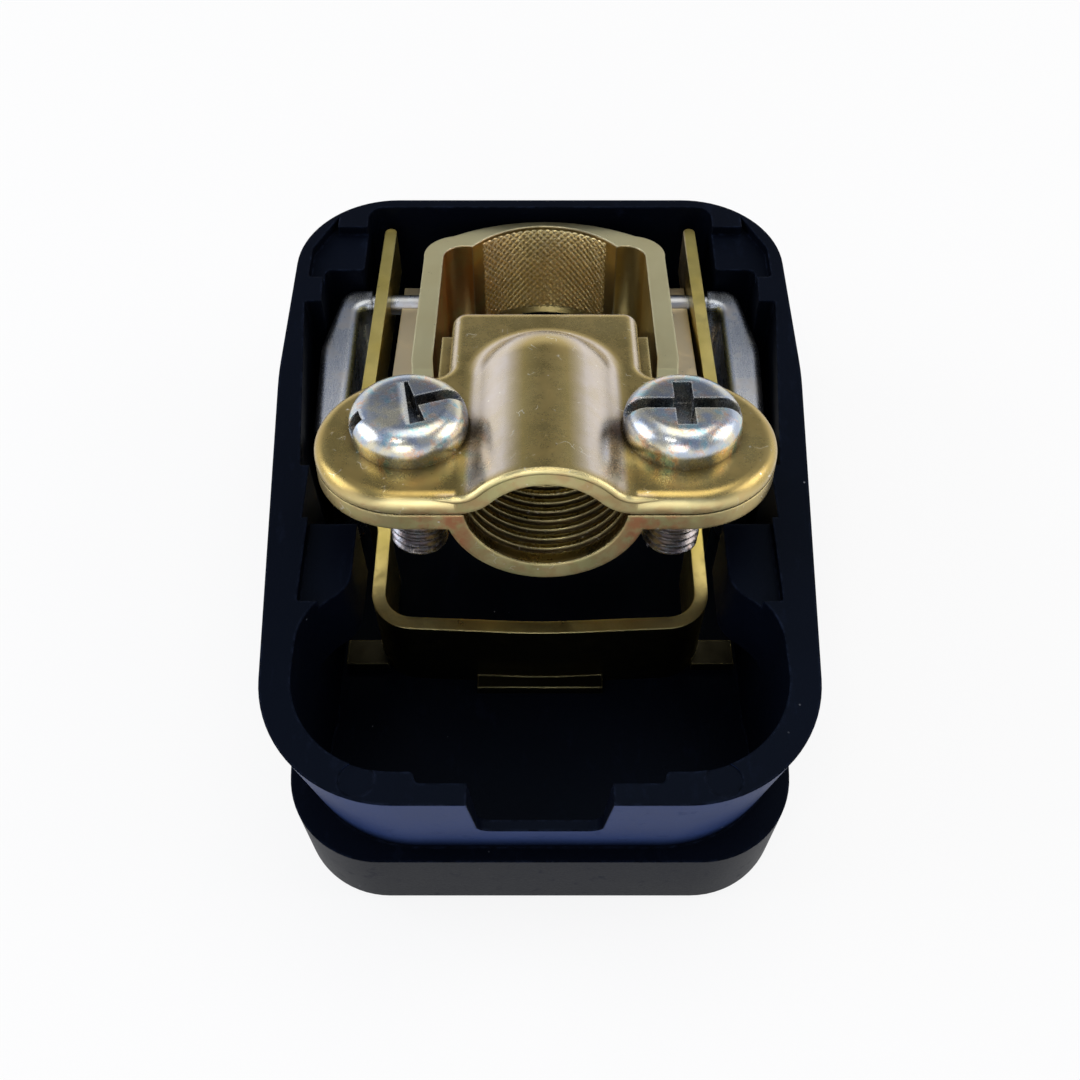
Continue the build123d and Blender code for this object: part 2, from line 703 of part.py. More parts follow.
os.makedirs("parts", exist_ok=True)
for piece in parts:
    export_step(piece.part, f"parts/{piece.part.label}.step")
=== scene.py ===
import json
from math import radians

import bpy
import numpy as np
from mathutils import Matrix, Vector


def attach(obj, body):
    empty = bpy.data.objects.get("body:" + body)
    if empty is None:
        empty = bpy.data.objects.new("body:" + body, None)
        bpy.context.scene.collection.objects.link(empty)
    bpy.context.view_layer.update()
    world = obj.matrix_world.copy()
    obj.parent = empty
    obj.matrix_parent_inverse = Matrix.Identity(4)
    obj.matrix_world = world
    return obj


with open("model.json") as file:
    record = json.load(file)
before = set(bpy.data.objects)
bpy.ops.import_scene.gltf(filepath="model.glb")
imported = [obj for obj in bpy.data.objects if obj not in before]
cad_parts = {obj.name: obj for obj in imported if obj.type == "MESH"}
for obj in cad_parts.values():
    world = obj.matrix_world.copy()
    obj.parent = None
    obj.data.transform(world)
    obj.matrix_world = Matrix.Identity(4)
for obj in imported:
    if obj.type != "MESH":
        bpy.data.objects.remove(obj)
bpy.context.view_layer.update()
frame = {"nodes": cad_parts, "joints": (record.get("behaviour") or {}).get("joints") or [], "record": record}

MM = 0.001

# ---- camera: over the cable end, looking down into the open cover ----
CAMERA_PLACE = (0.0, -63.0 * MM, 101.0 * MM)
CAMERA_PITCH = 56.0          # degrees below the horizon
FOCAL = 1150.0               # in pixels of a 1080 pixel frame
FRAME_PIXELS = 1080.0
SENSOR = 36.0                # millimetres, the unit of a lens

# ---- the tilted clamp's own frame, read from the hinge ----
hinge = next(j for j in frame["joints"] if j["name"] == "lever_hinge")
draw = next(j for j in frame["joints"] if j["name"] == "loop_draw")
loop_box = np.array([corner for corner in frame["nodes"]["post_loop"].bound_box])
PIVOT = np.array(hinge["pos_m"], float)
PIVOT[0] = (loop_box[:, 0].min() + loop_box[:, 0].max()) / 2
ALONG = np.array(draw["axis"])
ALONG = ALONG / np.linalg.norm(ALONG)
ACROSS = np.array((1.0, 0.0, 0.0))
UP = np.cross(ACROSS, ALONG)

# ---- sizes of the solids, in the clamp's frame ----
PLATE_TOP = 7.28 * MM        # top of the upper plate's flats
PLATE_FRONT = -36.0 * MM
ARCH_RISE = 3.0 * MM
FOOT_X = 6.9 * MM            # where the foot of the arch meets the flat
FOOT_RADIUS = 2.2 * MM
DOME_Y = -21.0 * MM          # middle of the arch's rounded end
SCREW_X = 10.9 * MM
SCREW_Y = -27.9 * MM
THREAD_TOP = 4.0 * MM
THREAD_END = -5.25 * MM
THREAD_PITCH = 0.8 * MM
CORE_RADIUS = 2.1 * MM
CREST_RADIUS = 2.5 * MM
SEAT_RADIUS = 8.8 * MM       # the round seat bored in the loop
SEAT_MIDDLE = -1.8 * MM
LOOP_TOP = 4.82 * MM
LOOP_BOTTOM = -5.68 * MM
LOOP_INSIDE = 10.05 * MM     # half the width between the loop's arms
ARM_ENDS = -18.8 * MM        # cut ends of the loop's arms
LINK_X = 14.35 * MM          # outer side of the links
LINK_NEAR = -25.4 * MM       # their end at the cable

# ---- sizes of the added relief ----
KNURL_PITCH = 0.72 * MM
KNURL_HEIGHT = 0.05 * MM
KNURL_HALF_ANGLE = radians(49)
BURR_REACH = 8.9 * MM
BURR_RADIUS = 0.30 * MM
BURR_INSET = 0.20 * MM


def clamp_points(x, y, z):
    """Points from the clamp's frame: pivot + x across + y along the plates + z square to them."""
    x, y, z = np.broadcast_arrays(x, y, z)
    return PIVOT + x[..., None] * ACROSS + y[..., None] * ALONG + z[..., None] * UP


# ---- meshes from whole arrays ----
def mesh_object(name, points, faces, smooth):
    """One mesh object at the origin, from an array of points and a list of faces."""
    mesh = bpy.data.meshes.new(name)
    mesh.from_pydata(points.reshape(-1, 3).tolist(), [], faces)
    mesh.validate()
    mesh.polygons.foreach_set("use_smooth", np.full(len(mesh.polygons), smooth))
    mesh.update()
    piece = bpy.data.objects.new(name, mesh)
    bpy.context.scene.collection.objects.link(piece)
    return piece


def grid_faces(rows, columns, close_columns=False):
    """Quads between neighbouring points of a rows by columns grid; where the columns are closed,
    the last column joins the first."""
    i = np.arange(rows - 1)
    j = np.arange(columns if close_columns else columns - 1)
    i, j = np.meshgrid(i, j, indexing="ij")
    right = (j + 1) % columns
    below = i + 1
    quads = [i * columns + j, i * columns + right, below * columns + right, below * columns + j]
    return np.stack(quads, -1).reshape(-1, 4)


def swept_tube(name, points, smooth):
    """A closed section carried along a path: row k of the grid of points is the section at path
    point k. Both ends are closed with one face each."""
    rows, columns = points.shape[:2]
    faces = grid_faces(rows, columns, close_columns=True).tolist()
    first = list(range(columns))
    last = [(rows - 1) * columns + k for k in first]
    return mesh_object(name, points, faces + [first[::-1], last], smooth)


# ---- shader maths ----
class Value:
    """A shader socket that can be used in Python expressions."""

    def __init__(self, shade, socket):
        self.shade = shade
        self.socket = socket

    def _math(self, operation, first, second=None):
        values = {0: first} if second is None else {0: first, 1: second}
        return self.shade.add("ShaderNodeMath", {"operation": operation}, values)

    def __add__(self, other):
        return self._math("ADD", self, other)

    __radd__ = __add__

    def __sub__(self, other):
        return self._math("SUBTRACT", self, other)

    def __rsub__(self, other):
        return self._math("SUBTRACT", other, self)

    def __mul__(self, other):
        return self._math("MULTIPLY", self, other)

    __rmul__ = __mul__

    def __pow__(self, other):
        return self._math("POWER", self, other)

    def __abs__(self):
        return self._math("ABSOLUTE", self)

    def above(self, low, high):
        """0 below low, 1 above high, straight between."""
        values = {"Value": self, "From Min": low, "From Max": high}
        return self.shade.add("ShaderNodeMapRange", {"clamp": True}, values)

    def below(self, low, high):
        """1 below low, 0 above high, straight between."""
        return 1.0 - self.above(low, high)

    def most(self, other):
        """The larger of the two."""
        return self._math("MAXIMUM", self, other)


class Shade:
    """The node tree of one material or world, and the one method that adds any node to it."""

    def __init__(self, owner):
        owner.use_nodes = True
        self.owner = owner
        self.tree = owner.node_tree
        self.bsdf = self.tree.nodes.get("Principled BSDF")

    @classmethod
    def material(cls, name):
        """A new material of that name."""
        return cls(bpy.data.materials.new(name))

    def surface(self, shader):
        """Links a shader to the output."""
        nodes = self.tree.nodes
        output = next(node for node in nodes if node.bl_idname.startswith("ShaderNodeOutput"))
        self.tree.links.new(shader.socket, output.inputs["Surface"])

    def add(self, kind, settings=None, values=None, output=0):
        """Adds one node, with its settings and with each input linked to a Value or set to a
        constant. The setting "stops" is a colour ramp's list of places and colours."""
        node = self.tree.nodes.new(kind)
        for key, setting in (settings or {}).items():
            if key == "stops":
                ramp = node.color_ramp
                while len(ramp.elements) < len(setting):
                    ramp.elements.new(0.5)
                for element, (place, colour) in zip(ramp.elements, setting):
                    element.position = place
                    element.color = (*colour, 1.0)
            else:
                setattr(node, key, setting)
        for key, value in (values or {}).items():
            if isinstance(value, Value):
                self.tree.links.new(value.socket, node.inputs[key])
            else:
                node.inputs[key].default_value = value
        return Value(self, node.outputs[output])

    def vector_maths(self, operation, values, output=0):
        """One node of vector maths."""
        return self.add("ShaderNodeVectorMath", {"operation": operation}, values, output)

    def place(self):
        """Object coordinates in metres."""
        return self.add("ShaderNodeTexCoord", output="Object")

    def along(self, vector, axis):
        """How far a vector reaches along an axis."""
        return self.vector_maths("DOT_PRODUCT", {0: vector, 1: tuple(axis)}, "Value")

    def clamp_place(self):
        """Object coordinates in the clamp's own frame: across, along and up, in metres."""
        offset = self.vector_maths("SUBTRACT", {0: self.place(), 1: tuple(PIVOT)})
        return [self.along(offset, axis) for axis in (ACROSS, ALONG, UP)]

    def facing(self, axis):
        """1 where the surface faces along the piece's own axis, -1 where it faces against it."""
        return self.along(self.add("ShaderNodeTexCoord", output="Normal"), axis)

    def spread(self, size, stretch=(1, 1, 1), vector=None):
        """Coordinates whose unit is size, in metres; stretch lengthens the unit along an axis."""
        scale = tuple(1.0 / (size * s) for s in stretch)
        return self.add("ShaderNodeMapping", {}, {"Vector": vector or self.place(), "Scale": scale})

    def noise(self, size, detail=3.0, roughness=0.55, stretch=(1, 1, 1)):
        """Noise whose blobs are about size across."""
        values = {"Vector": self.spread(size, stretch), "Scale": 1.0}
        values.update({"Detail": detail, "Roughness": roughness})
        return self.add("ShaderNodeTexNoise", {}, values, "Fac")

    def cells(self, size, feature="F1", vector=None):
        """Distance to the points, or to the edges, of a pattern of cells about size across."""
        values = {"Vector": self.spread(size, vector=vector), "Scale": 1.0}
        return self.add("ShaderNodeTexVoronoi", {"feature": feature}, values)

    def hairs(self, size, width, amount):
        """Thin wandering lines: the borders of warped cells, kept only in some places."""
        values = {"Vector": self.place(), "Scale": 0.9 / size}
        warp = self.add("ShaderNodeTexNoise", {}, values, "Color")
        bend = self.vector_maths("SCALE", {0: warp, "Scale": size * 1.4})
        bent = self.vector_maths("ADD", {0: self.place(), 1: bend})
        line = self.cells(size, "DISTANCE_TO_EDGE", bent).below(width / size * 0.4, width / size)
        return line * self.noise(size * 0.8, 2.0).above(amount, amount + 0.04)

    def hollow(self, distance, low=0.25, high=0.85):
        """1 deep in grooves, recesses and corners, 0 in the open; the mask for painted shade."""
        sky = self.add("ShaderNodeAmbientOcclusion", {"samples": 2}, {"Distance": distance}, "AO")
        return sky.below(low, high)

    def rounded(self, radius):
        """The normal of softly rounded edges."""
        return self.add("ShaderNodeBevel", {"samples": 2}, {"Radius": radius})

    def edges(self, radius):
        """1 on sharp edges and 0 on flats: how far the rounded normal leaves the true one."""
        true = self.add("ShaderNodeNewGeometry", output="Normal")
        dot = self.vector_maths("DOT_PRODUCT", {0: self.rounded(radius), 1: true}, "Value")
        return (1.0 - dot).above(0.02, 0.25)

    def seen(self):
        """1 for rays from the camera and for reflections, 0 for the rays that carry light about."""
        camera = self.add("ShaderNodeLightPath", output="Is Camera Ray")
        return camera.most(self.add("ShaderNodeLightPath", output="Is Glossy Ray"))

    def mix(self, factor, first, second):
        """Colour mix: first where factor is 0, second where it is 1."""
        values = {"Factor": factor}
        for slot, colour in ((6, first), (7, second)):
            values[slot] = colour if isinstance(colour, Value) else (*colour, 1.0)
        return self.add("ShaderNodeMix", {"data_type": "RGBA"}, values, 2)

    def paint(self, colour, *layers):
        """Lays colours over a first one, in order; a layer is its cover, 0 to 1, and its colour."""
        for cover, over in layers:
            colour = self.mix(cover, colour, over)
        return colour

    def finish(self, colour, roughness, height, bump, depth, edge, metallic=1.0, **fixed):
        """Links colour and roughness, and a bump that rides on softly rounded edges."""
        values = {"Strength": bump, "Distance": depth, "Height": height}
        values["Normal"] = self.rounded(edge)
        normal = self.add("ShaderNodeBump", {}, values)
        for key, value in (("Base Color", colour), ("Roughness", roughness), ("Normal", normal)):
            self.tree.links.new(value.socket, self.bsdf.inputs[key])
        self.bsdf.inputs["Metallic"].default_value = metallic
        for key, value in fixed.items():
            self.bsdf.inputs[key.replace("_", " ")].default_value = value
        return self.owner


def black_plastic():
    """Lightly textured black moulding: a navy cast, pale scuffs on its edges and dust specks."""
    shade = Shade.material("black_plastic")
    grain = shade.noise(0.22 * MM, 4.0, 0.65)
    broad = shade.noise(9 * MM)
    scuff = shade.noise(1.6 * MM, 6.0, 0.7, (1, 3, 1)).above(0.58, 0.74)
    speck = shade.cells(1.7 * MM).below(0.035, 0.06) * shade.noise(3.1 * MM, 2.0).above(0.62, 0.66)
    worn = shade.edges(0.35 * MM) * shade.noise(0.7 * MM, 4.0).above(0.42, 0.66)
    height = shade.along(shade.place(), (0, 0, 1))
    outward = shade.along(shade.place(), (0, -1, 0)).above(24 * MM, 27 * MM)
    upper = height.above(9.9 * MM, 12.5 * MM) * outward
    painted_blue_sheen = shade.facing((0, -1, 0)).above(0.35, 0.95) * upper
    colour = shade.paint(
        shade.mix(broad, (0.0013, 0.0021, 0.0050), (0.0026, 0.0041, 0.0098)),
        (painted_blue_sheen * (0.45 + broad * 0.4 + grain * 0.3), (0.024, 0.047, 0.150)),   # painted blue sheen, light on the near wall
        (scuff * 0.25, (0.012, 0.018, 0.040)),
        (worn * 0.5, (0.035, 0.052, 0.110)),
        (speck * 0.8, (0.30, 0.32, 0.36)),
        (shade.hollow(14 * MM, 0.15, 0.75) * 0.85, (0.0006, 0.0008, 0.0018)),      # painted shade deep in the bowl
    )
    gloss = 0.42 + scuff * 0.14 + (grain - 0.5) * 0.12 + broad * 0.06
    return shade.finish(
        colour, gloss, grain, bump=0.3, depth=0.05 * MM, edge=0.25 * MM, metallic=0.0,
        Specular_IOR_Level=0.05, Specular_Tint=(0.50, 0.68, 1.0, 1.0),
    )


def clamp_brass():
    """Pressed brass: olive brown with a painted lilac sheen on the slopes of the arch, painted shade in
    the grooves, red copper stains beside the lower barrel, hair scratches and a few bright specks."""
    shade = Shade.material("clamp_brass")
    across, along, up = shade.clamp_place()
    aside = abs(across)
    broad = shade.noise(7 * MM, 4.0, 0.6)
    cloud = shade.noise(2.6 * MM, 4.0, 0.6).above(0.40, 0.72)
    fine = shade.noise(0.25 * MM, 4.0, 0.6)
    speck = shade.cells(0.85 * MM).below(0.08, 0.13) * shade.noise(1.3 * MM, 2.0).above(0.56, 0.60)
    hair = shade.hairs(1.7 * MM, 0.030 * MM, 0.60)
    bright = shade.edges(0.35 * MM)

    # the painted lilac sheen, a reflection, lies on the slopes of the arch and in a ring round its rounded
    # end
    slope = 1.0 - shade.facing(UP)
    on_top = up.above(PLATE_TOP - 1.28 * MM, PLATE_TOP - 0.28 * MM)
    arch = aside.below(FOOT_X + 0.7 * MM, FOOT_X + 1.7 * MM) * on_top
    on_slope = slope.above(0.030, 0.110) * slope.below(0.30, 0.55) * arch
    past = along - DOME_Y
    away = (across * across + past * past) ** 0.5
    ring = away.above(4.4 * MM, 4.8 * MM) * away.below(6.0 * MM, 6.6 * MM)
    round_end = ring * past.above(0.0, 3.0 * MM) * on_top
    behind_edge = along.above(PLATE_FRONT + 0.3 * MM, PLATE_FRONT + 1.1 * MM)
    painted_lilac_sheen = on_slope.most(round_end) * behind_edge

    # the plates' front faces, the rim above them, the barrel's hollow and the lower plate's front
    front = shade.facing(-ALONG).above(0.6, 0.95)
    at_edge = along.below(PLATE_FRONT + 0.28 * MM, PLATE_FRONT + 0.5 * MM)
    rim = at_edge * shade.facing(UP).above(0.1, 0.5)
    inside = aside.below(FOOT_X - 0.3 * MM, FOOT_X + 0.5 * MM)
    inside = inside * up.below(PLATE_TOP + 0.92 * MM, PLATE_TOP + 1.62 * MM)
    lower = up.below(PLATE_TOP - 1.58 * MM, PLATE_TOP - 1.18 * MM)
    lower_front = lower * along.below(PLATE_FRONT + 1.0 * MM, PLATE_FRONT + 3.0 * MM)
    beside = aside.above(5.2 * MM, 6.6 * MM) * aside.below(9.5 * MM, 11.5 * MM)
    copper = lower_front * beside * shade.noise(1.1 * MM, 4.0).above(0.40, 0.58)
    patches = front * shade.noise(1.5 * MM, 4.0).above(0.46, 0.58)
    lime = front * shade.noise(2.1 * MM).above(0.50, 0.60)

    colour = shade.paint(
        shade.mix(broad.above(0.35, 0.65), (0.44, 0.325, 0.105), (0.54, 0.415, 0.155)),
        (cloud * 0.22, (0.52, 0.33, 0.12)),
        # painted lilac sheen: a reflection painted on the arch's slopes and round end
        (painted_lilac_sheen * (0.50 + cloud * 0.25), (0.84, 0.78, 0.78)),
        (up.below(-1.5 * MM, 3.0 * MM) * 0.4, (0.58, 0.60, 0.28)),                # green low down
        (front * 0.5, (0.90, 0.80, 0.46)),                                        # painted light on the front faces, which are sheared metal
        (patches * 0.45, (0.60, 0.36, 0.16)),
        (lime * 0.35, (0.62, 0.66, 0.30)),
        (copper * 0.75, (0.66, 0.24, 0.12)),
        (bright.most(rim) * 0.8, (0.96, 0.82, 0.40)),                             # painted highlight on the edges and the front rim
        # painted shade inside the barrel's hollow
        (shade.hollow(5 * MM, 0.10, 0.70) * inside * 0.9, (0.055, 0.040, 0.022)),
        (shade.hollow(0.8 * MM) * 0.8, (0.085, 0.040, 0.018)),                    # painted shade in grooves and gaps
        (speck.most(hair * 0.7) * 0.8, (0.98, 0.94, 0.80)),
    )
    gloss = 0.25 + (fine - 0.5) * 0.14 + cloud * 0.09 - bright * 0.05 + front * 0.18
    return shade.finish(
        colour, gloss, fine * 0.5 + hair * 0.6, bump=0.2, depth=0.04 * MM, edge=0.3 * MM
    )


def strap_brass():
    """Rolled strip: olive yellow with fine lines; the low lip and tabs are darkened to near black on their
    flats.
    The links, nearer the middle and above the floor, are a paler pinkish tan."""
    shade = Shade.material("strap_brass")
    across, along, up = shade.clamp_place()
    height = shade.along(shade.place(), (0, 0, 1))
    lines = shade.noise(0.14 * MM, 3.0, 0.6, (10, 10, 1))
    broad = shade.noise(5 * MM)
    tarnish = shade.noise(1.6 * MM, 4.0, 0.6).above(0.50, 0.75)
    bright = shade.edges(0.2 * MM)
    link = abs(across).below(LINK_X + 0.1 * MM, LINK_X + 0.2 * MM)
    link = link * along.above(LINK_NEAR - 1.6 * MM, LINK_NEAR - 1.5 * MM)
    link = link * height.above(14.0 * MM, 14.2 * MM)
    cable_end = shade.along(shade.place(), (0, 1, 0)).below(-9 * MM, -3 * MM)
    low_flats = height.below(5.0 * MM, 6.5 * MM) * shade.facing((0, 0, 1)).above(0.3, 0.7)
    front = shade.facing((0, -1, 0)).above(0.5, 0.9) * height.below(15 * MM, 17 * MM)
    colour = shade.paint(
        shade.mix(broad.above(0.35, 0.65), (0.60, 0.49, 0.14), (0.70, 0.59, 0.21)),
        (cable_end * 0.75, (0.98, 0.80, 0.34)),
        (tarnish * 0.35, (0.38, 0.29, 0.09)),
        (link, (0.92, 0.75, 0.46)),
        # painted highlight on the edges
        (bright * 0.65, (0.95, 0.84, 0.42)),
        # painted shade in the hollows
        (shade.hollow(0.8 * MM) * 0.6, (0.10, 0.07, 0.03)),
        # near black on the low flats, and a painted dark reflection of the bowl on the faces turned to the
        # cable end
        (low_flats.most(front * 0.85) * (1.0 - bright * 0.8), (0.012, 0.011, 0.007)),
    )
    gloss = 0.30 + (lines - 0.5) * 0.14 + tarnish * 0.12
    return shade.finish(colour, gloss, lines, bump=0.14, depth=0.03 * MM, edge=0.15 * MM)


def loop_brass():
    """Yellow green band brass: an orange heat tint inside the bend, bright cut ends on the arms."""
    shade = Shade.material("loop_brass")
    across, along, up = shade.clamp_place()
    fine = shade.noise(0.2 * MM, 4.0, 0.6, (3, 3, 1))
    broad = shade.noise(6 * MM)
    walls = shade.facing(UP).below(0.2, 0.6)
    within = abs(across).below(LOOP_INSIDE + 0.05 * MM, LOOP_INSIDE + 0.25 * MM)
    heated = across.below(-8.5 * MM, -2.0 * MM) * walls * within
    tint = heated * shade.noise(3.0 * MM).above(0.28, 0.55)
    cut = along.below(ARM_ENDS + 1.9 * MM, ARM_ENDS + 2.1 * MM)
    bright = shade.edges(0.25 * MM)
    colour = shade.paint(
        shade.mix(broad.above(0.35, 0.65), (0.72, 0.585, 0.23), (0.80, 0.685, 0.32)),
        (walls * 0.6, (0.88, 0.63, 0.20)),
        (tint * 0.75, (0.88, 0.42, 0.13)),
        (cut * 0.7, (0.86, 0.78, 0.36)),
        ((1.0 - walls) * 0.4, (0.93, 0.90, 0.62)),                                # top faces
        # painted highlight on the edges
        (bright * 0.7, (0.96, 0.92, 0.66)),
        # painted shade in the hollows
        (shade.hollow(0.5 * MM) * 0.3, (0.22, 0.13, 0.04)),
    )
    gloss = 0.30 + (fine - 0.5) * 0.12
    return shade.finish(
        colour, gloss, fine * 0.4 + cut, bump=0.2, depth=0.03 * MM, edge=0.25 * MM
    )


def bright_steel():
    """Pressed steel: blue grey, faint drawing lines, a little brown water staining."""
    shade = Shade.material("bright_steel")
    lines = shade.noise(0.16 * MM, 3.0, 0.6, (1, 8, 1))
    stain = shade.noise(2.8 * MM, 5.0, 0.65).above(0.5, 0.7)
    painted_shade_towards_post = shade.along(shade.place(), (0, 1, 0)).above(6 * MM, 17 * MM)
    colour = shade.paint(
        shade.mix(shade.noise(8 * MM).above(0.35, 0.65), (0.66, 0.70, 0.78), (0.78, 0.80, 0.84)),
        # painted shade: darker towards the post
        (painted_shade_towards_post * 0.6, (0.20, 0.24, 0.30)),
        (stain * 0.5, (0.42, 0.36, 0.31)),
        # painted shade in the hollows
        (shade.hollow(0.9 * MM) * 0.6, (0.06, 0.055, 0.06)),
    )
    gloss = 0.27 + (lines - 0.5) * 0.12 + stain * 0.10
    return shade.finish(colour, gloss, lines, bump=0.12, depth=0.03 * MM, edge=0.4 * MM)


def zinc_plate():
    """Zinc plating: silver with straw and blue casts, and small cyan and orange spots; painted shade in
    the driver recess and at the foot of the head, a brown violet cast on the threads."""
    shade = Shade.material("zinc_plate")
    across, along, up = shade.clamp_place()
    fine = shade.noise(0.15 * MM, 4.0, 0.6)
    cast = shade.noise(1.8 * MM)
    dirt = shade.noise(0.8 * MM, 5.0, 0.7).above(0.56, 0.75)
    stops = [
        (0.40, (0.30, 0.62, 0.72)),
        (0.50, (0.72, 0.74, 0.74)),
        (0.58, (0.86, 0.50, 0.30)),
        (0.66, (0.74, 0.66, 0.74)),
    ]
    hue = shade.noise(1.0 * MM, 2.0)
    rainbow = shade.add("ShaderNodeValToRGB", {"stops": stops}, {"Fac": hue}, "Color")
    spots = shade.noise(1.6 * MM).above(0.48, 0.58)
    threads = up.below(THREAD_TOP, THREAD_TOP + 1.2 * MM)
    out = abs(across) - SCREW_X
    back = along - SCREW_Y
    away = (out * out + back * back) ** 0.5
    painted_recess_shade = away.below(2.5 * MM, 3.3 * MM) * back.above(-0.9 * MM, 0.5 * MM)
    painted_recess_shade = painted_recess_shade * up.above(7.5 * MM, 8.0 * MM)
    colour = shade.paint(
        shade.mix(cast.above(0.40, 0.58), (0.46, 0.52, 0.62), (0.74, 0.69, 0.53)),
        (spots * 0.65, rainbow),
        (dirt * 0.4, (0.36, 0.36, 0.38)),
        (threads * 0.65, (0.50, 0.42, 0.42)),
        # painted shade: a dark flare round the driver recess
        (painted_recess_shade * 0.55, (0.22, 0.24, 0.28)),
        # painted highlight on the edges
        (shade.edges(0.15 * MM) * 0.6, (0.93, 0.94, 0.92)),
        (shade.hollow(1.4 * MM, 0.30, 0.92) * 0.85, (0.085, 0.080, 0.080)),       # painted shade in the recess and at the foot of the head
    )
    gloss = 0.26 + (fine - 0.5) * 0.12 + dirt * 0.14
    return shade.finish(colour, gloss, fine, bump=0.18, depth=0.03 * MM, edge=0.2 * MM)


slots = {
    "black_plastic": black_plastic(),
    "clamp_brass": clamp_brass(),
    "strap_brass": strap_brass(),
    "loop_brass": loop_brass(),
    "bright_steel": bright_steel(),
    "zinc_plate": zinc_plate(),
}
slots["pin_steel"] = slots["bright_steel"]
for entry in frame["record"]["subparts"]:
    node = frame["nodes"][entry["node"]]
    node.data.materials.clear()
    node.data.materials.append(slots[entry["material_slot"]])


# ---- knurling on the round seat inside the post loop ----
def knurled_patch():
    """Inside face of the loop: a part cylinder whose radius is the wall's radius less a height.
    The height is the smaller of two crossing triangle waves, so it stands in diamonds, and it
    fades to nothing at the border. A plain back sheet inside the wall closes the shell."""
    side_fade, bottom_fade, top_fade = radians(6), 0.4 * MM, 0.3 * MM
    buried = 0.03 * MM
    turns = np.linspace(-KNURL_HALF_ANGLE, KNURL_HALF_ANGLE, 241)
    levels = np.linspace(LOOP_BOTTOM + 0.5 * MM, LOOP_TOP - 0.25 * MM, 161)
    turn, level = np.meshgrid(turns, levels, indexing="ij")
    arc = turn * SEAT_RADIUS
    first = np.abs(((arc + level) / KNURL_PITCH) % 1.0 - 0.5) * 2.0
    second = np.abs(((arc - level) / KNURL_PITCH) % 1.0 - 0.5) * 2.0
    fade = np.clip((KNURL_HALF_ANGLE - np.abs(turn)) / side_fade, 0, 1)
    fade *= np.clip((level - levels[0]) / bottom_fade, 0, 1)
    fade *= np.clip((levels[-1] - level) / top_fade, 0, 1)
    height = KNURL_HEIGHT * np.clip(np.minimum(1 - first, 1 - second) * 1.6, 0, 1) * fade
    front = SEAT_RADIUS + buried * (1 - fade) - height
    back = np.full_like(front, SEAT_RADIUS + 2 * buried)
    rim = np.zeros_like(front, bool)
    rim[0, :] = rim[-1, :] = rim[:, 0] = rim[:, -1] = True
    back[rim] = front[rim]
    sheets = [
        clamp_points(radius * np.sin(turn), SEAT_MIDDLE + radius * np.cos(turn), level)
        for radius in (front, back)
    ]
    inner = grid_faces(*turn.shape)
    outer = inner[:, ::-1] + turn.size
    points = np.concatenate([sheet.reshape(-1, 3) for sheet in sheets])
    return mesh_object("loop_knurl", points, np.concatenate([inner, outer]).tolist(), smooth=False)


knurl = knurled_patch()
knurl.data.materials.append(slots["loop_brass"])
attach(knurl, "loop")


# ---- raised burr along the front edge of the upper plate ----
def front_burr():
    """A round section carried along the plate's front top edge. The edge is two arcs that touch, a
    crest and a foot, then flat; the radius shrinks to nothing over the ears' own rounding."""
    foot_above = FOOT_RADIUS - ARCH_RISE
    crest_radius = (FOOT_X**2 + foot_above**2 - FOOT_RADIUS**2) / (2 * ARCH_RISE)
    touch_x = FOOT_X * crest_radius / (crest_radius + FOOT_RADIUS)
    taper = 1.8 * MM
    x = np.linspace(-BURR_REACH, BURR_REACH, 181)
    reach = np.abs(x)
    crest = PLATE_TOP + ARCH_RISE - crest_radius + np.sqrt(np.maximum(crest_radius**2 - x**2, 0))
    foot_reach = np.clip(FOOT_X - reach, 0, FOOT_RADIUS)
    foot = PLATE_TOP + FOOT_RADIUS - np.sqrt(FOOT_RADIUS**2 - foot_reach**2)
    top = np.where(reach < touch_x, crest, foot)
    slope = np.gradient(top, x)
    lean = np.stack([-slope, np.ones_like(slope)], 1) / np.sqrt(1 + slope**2)[:, None]
    radius = BURR_RADIUS * np.clip((BURR_REACH - reach) / taper, 0.05, 1)
    around = np.linspace(0, 2 * np.pi, 14, endpoint=False)
    lift = radius[:, None] * np.cos(around) - BURR_INSET
    level = top[:, None] + lift * lean[:, 1:]
    side = x[:, None] + lift * lean[:, :1]
    depth = PLATE_FRONT + BURR_INSET - radius[:, None] * np.sin(around)
    return swept_tube("front_burr", clamp_points(side, depth, level), smooth=True)


burr = front_burr()
burr.data.materials.append(slots["clamp_brass"])
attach(burr, "clamp")


# ---- threads on the screws' ends ----
def thread_ridge(name, side):
    """One ridge wound round a screw: at turn t the ridge is at the screw's top level less
    pitch times t / 2 pi. Its section is a low trapezoid that shrinks into the core at both ends."""
    half_foot, half_crest = 0.46 * THREAD_PITCH, 0.10 * THREAD_PITCH
    buried, sunk = 0.05 * MM, 0.06 * MM
    turns = (THREAD_TOP - THREAD_END) / THREAD_PITCH
    turn = np.linspace(0, 2 * np.pi * turns, int(40 * turns))
    level = THREAD_TOP - THREAD_PITCH * turn / (2 * np.pi)
    fade = np.clip(turn / np.pi, 0, 1) * np.clip((turn[-1] - turn) / (1.4 * np.pi), 0, 1)
    out = np.array([0.0, 0.0, 1.0, 1.0])
    along = np.array([-half_foot, half_foot, half_crest, -half_crest])
    crest = buried + (CREST_RADIUS - CORE_RADIUS) * fade - sunk * (1 - fade)
    radius = CORE_RADIUS - buried + out[None, :] * crest[:, None]
    height = level[:, None] + along[None, :]
    x = side * SCREW_X + radius * np.cos(turn)[:, None]
    y = SCREW_Y + radius * np.sin(turn)[:, None]
    return swept_tube(name, clamp_points(x, y, height), smooth=False)


for name, side in (("left", -1), ("right", 1)):
    ridge = thread_ridge("thread_" + name, side)
    ridge.data.materials.append(slots["zinc_plate"])
    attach(ridge, name + "_screw")


